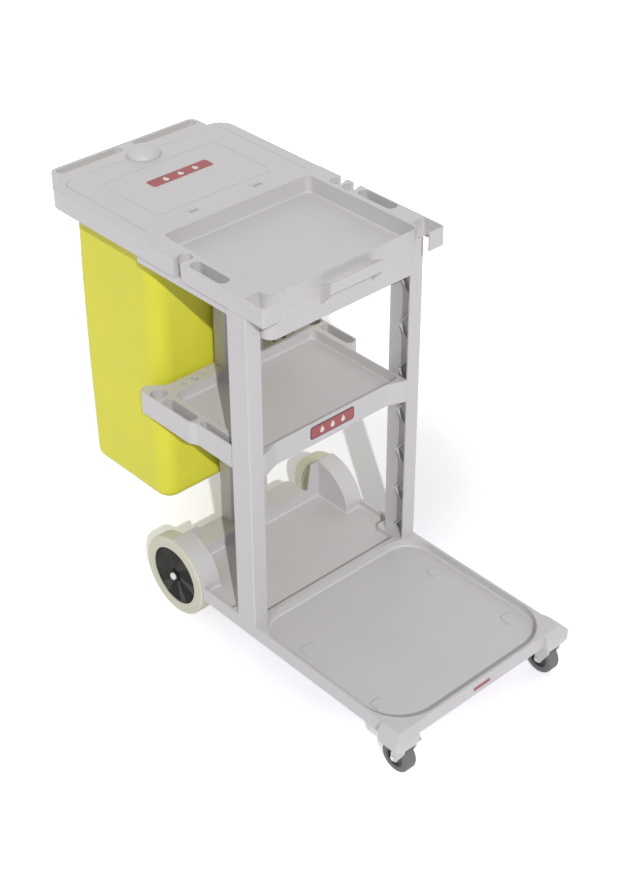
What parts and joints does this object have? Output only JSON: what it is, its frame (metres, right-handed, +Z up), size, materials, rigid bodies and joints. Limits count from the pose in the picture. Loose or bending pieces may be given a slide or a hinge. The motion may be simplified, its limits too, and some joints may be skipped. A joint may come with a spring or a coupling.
{
  "type": "housekeeping cart",
  "caption": "Moulded plastic housekeeping cart with a top tray, middle shelf, open front platform, lidded hood and hanging yellow bag, on large rear wheels and swivel casters",
  "frame": {"origin": "on the floor, in the middle of the cart's length and width", "axes": "+X along the cart to the open front platform, +Y to its left side, +Z up"},
  "size_m": [1.2031, 0.542, 0.9973],
  "materials": {
    "grey_plastic": "moulded, light grey, fine texture",
    "black_plastic": "moulded, black",
    "white_plastic": "moulded, white",
    "dark_plastic": "moulded, dark grey",
    "steel": "zinc plated",
    "white_metal": "pressed steel, light coating",
    "cream_tyre": "solid, cream",
    "grey_tyre": "solid, grey",
    "bag_cloth": "coated cloth, yellow"
  },
  "bodies": {
    "chassis": {"base_deck": "grey_plastic", "rear_axle": "steel", "right_axle_spacer": "black_plastic", "right_axle_cap": "white_plastic", "front_right_caster_mount": "steel", "right_lower_post": "grey_plastic", "right_upper_post": "grey_plastic", "right_hinge_pin": "steel", "left_axle_spacer": "black_plastic", "left_axle_cap": "white_plastic", "front_left_caster_mount": "steel", "left_lower_post": "grey_plastic", "left_upper_post": "grey_plastic", "left_hinge_pin": "steel", "lower_column": "grey_plastic", "upper_column": "grey_plastic", "middle_shelf": "grey_plastic", "head_frame": "grey_plastic", "top_tray": "grey_plastic", "front_panel": "grey_plastic", "front_pull": "grey_plastic", "bag_hood": "grey_plastic", "bag_collar": "grey_plastic", "bag": "bag_cloth"},
    "lid_body": {"lid": "grey_plastic"},
    "right_wheel": {"right_rear_hub": "black_plastic", "right_rear_tyre": "cream_tyre"},
    "left_wheel": {"left_rear_hub": "black_plastic", "left_rear_tyre": "cream_tyre"},
    "right_swivel": {"front_right_caster_fork": "white_metal", "front_right_caster_bolt": "steel"},
    "right_caster_wheel": {"front_right_caster_hub": "dark_plastic", "front_right_caster_tyre": "grey_tyre"},
    "left_swivel": {"front_left_caster_fork": "white_metal", "front_left_caster_bolt": "steel"},
    "left_caster_wheel": {"front_left_caster_hub": "dark_plastic", "front_left_caster_tyre": "grey_tyre"}
  },
  "joints": [
    {"name": "lid_hinge", "type": "hinge", "parent": "chassis", "child": "lid_body", "pos_m": [-0.2265, 0, 0.9695], "axis": [0, 1, 0], "range_deg": [0, 95]},
    {"name": "right_wheel_spin", "type": "hinge", "parent": "chassis", "child": "right_wheel", "pos_m": [-0.1625, -0.235, 0.1016], "axis": [0, 1, 0], "continuous": true},
    {"name": "right_caster_swivel", "type": "hinge", "parent": "chassis", "child": "right_swivel", "pos_m": [0.5775, -0.228, 0.0792], "axis": [0, 0, 1], "continuous": true},
    {"name": "right_caster_spin", "type": "hinge", "parent": "right_swivel", "child": "right_caster_wheel", "pos_m": [0.5635, -0.228, 0.0381], "axis": [0, 1, 0], "continuous": true},
    {"name": "left_wheel_spin", "type": "hinge", "parent": "chassis", "child": "left_wheel", "pos_m": [-0.1625, 0.235, 0.1016], "axis": [0, 1, 0], "continuous": true},
    {"name": "left_caster_swivel", "type": "hinge", "parent": "chassis", "child": "left_swivel", "pos_m": [0.5775, 0.228, 0.0792], "axis": [0, 0, 1], "continuous": true},
    {"name": "left_caster_spin", "type": "hinge", "parent": "left_swivel", "child": "left_caster_wheel", "pos_m": [0.5635, 0.228, 0.0381], "axis": [0, 1, 0], "continuous": true}
  ]
}
